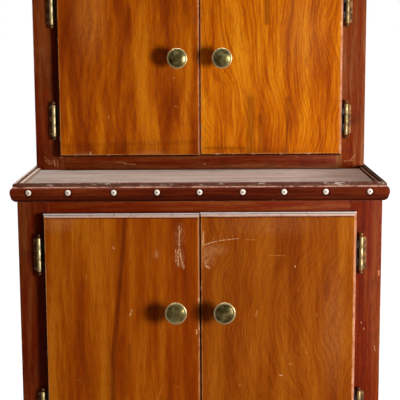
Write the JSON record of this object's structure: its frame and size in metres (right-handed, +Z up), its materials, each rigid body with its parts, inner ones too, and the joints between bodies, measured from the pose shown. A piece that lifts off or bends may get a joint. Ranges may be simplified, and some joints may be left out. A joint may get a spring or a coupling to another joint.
{
  "type": "icebox",
  "caption": "Two-tier step-back wooden icebox: hinged upper ice cabinet over a ledge and a lower food cabinet, lined in cork and sheet metal, with a sliding drip pan.",
  "frame": {"origin": "centre of the bounding box at floor level", "axes": "+Z up, front with the doors and knobs towards -Y, +X to the right of someone facing the front"},
  "size_m": [0.631, 0.542, 1],
  "materials": {
    "mahogany": "satin",
    "upper_door_veneer": "gloss",
    "lower_door_veneer": "gloss",
    "ledge_wood": "matte",
    "back_pine": "matte",
    "rack_wood": "matte",
    "cork": "matte",
    "zinc": "satin",
    "plug_sheet": "satin",
    "tinned_wire": "satin",
    "brass": "satin"
  },
  "bodies": {
    "cabinet": {"cornice_moulding": "mahogany", "drain_pipe": "zinc", "ice_rack": "rack_wood", "ledge_board": "ledge_wood", "ledge_moulding_front": "mahogany", "ledge_moulding_left": "mahogany", "ledge_moulding_right": "mahogany", "lower_back": "back_pine", "lower_bottom_rail": "mahogany", "lower_cork_lining": "cork", "lower_floor_board": "back_pine", "lower_left_bottom_hinge_frame_leaf": "brass", "lower_left_top_hinge_frame_leaf": "brass", "lower_mullion": "mahogany", "lower_right_bottom_hinge_frame_leaf": "brass", "lower_right_top_hinge_frame_leaf": "brass", "lower_side_left": "mahogany", "lower_side_right": "mahogany", "lower_stile_left": "mahogany", "lower_stile_right": "mahogany", "lower_top_rail": "mahogany", "lower_zinc_liner": "zinc", "pan_shelf": "back_pine", "top_board": "mahogany", "upper_back": "back_pine", "upper_bottom_rail": "mahogany", "upper_cork_lining": "cork", "upper_left_bottom_hinge_frame_leaf": "brass", "upper_left_top_hinge_frame_leaf": "brass", "upper_mullion": "mahogany", "upper_right_bottom_hinge_frame_leaf": "brass", "upper_right_top_hinge_frame_leaf": "brass", "upper_side_left": "mahogany", "upper_side_right": "mahogany", "upper_stile_left": "mahogany", "upper_stile_right": "mahogany", "upper_top_rail": "mahogany", "upper_zinc_liner": "zinc", "wire_shelf": "tinned_wire"},
    "lower_left_door": {"lower_left_door_slab": "lower_door_veneer", "lower_left_door_plug": "plug_sheet", "lower_left_knob": "brass", "lower_left_top_hinge_door_leaf": "brass", "lower_left_bottom_hinge_door_leaf": "brass"},
    "lower_right_door": {"lower_right_door_slab": "lower_door_veneer", "lower_right_door_plug": "plug_sheet", "lower_right_knob": "brass", "lower_right_top_hinge_door_leaf": "brass", "lower_right_bottom_hinge_door_leaf": "brass"},
    "upper_left_door": {"upper_left_door_slab": "upper_door_veneer", "upper_left_door_plug": "plug_sheet", "upper_left_knob": "brass", "upper_left_top_hinge_door_leaf": "brass", "upper_left_bottom_hinge_door_leaf": "brass"},
    "upper_right_door": {"upper_right_door_slab": "upper_door_veneer", "upper_right_door_plug": "plug_sheet", "upper_right_knob": "brass", "upper_right_top_hinge_door_leaf": "brass", "upper_right_bottom_hinge_door_leaf": "brass"},
    "drip_pan": {"drip_pan": "zinc"}
  },
  "joints": [
    {"name": "lower_left_door_swing", "type": "hinge", "parent": "cabinet", "child": "lower_left_door", "pos_m": [-0.27, -0.234, 0.321], "axis": [0, 0, -1], "range_deg": [0, 150]},
    {"name": "lower_right_door_swing", "type": "hinge", "parent": "cabinet", "child": "lower_right_door", "pos_m": [0.27, -0.234, 0.321], "axis": [0, 0, 1], "range_deg": [0, 150]},
    {"name": "upper_left_door_swing", "type": "hinge", "parent": "cabinet", "child": "upper_left_door", "pos_m": [-0.27, -0.012, 0.764], "axis": [0, 0, -1], "range_deg": [0, 150]},
    {"name": "upper_right_door_swing", "type": "hinge", "parent": "cabinet", "child": "upper_right_door", "pos_m": [0.27, -0.012, 0.764], "axis": [0, 0, 1], "range_deg": [0, 150]},
    {"name": "drip_pan_slide", "type": "slide", "parent": "cabinet", "child": "drip_pan", "axis": [0, -1, 0], "range_m": [0, 0.3]}
  ]
}
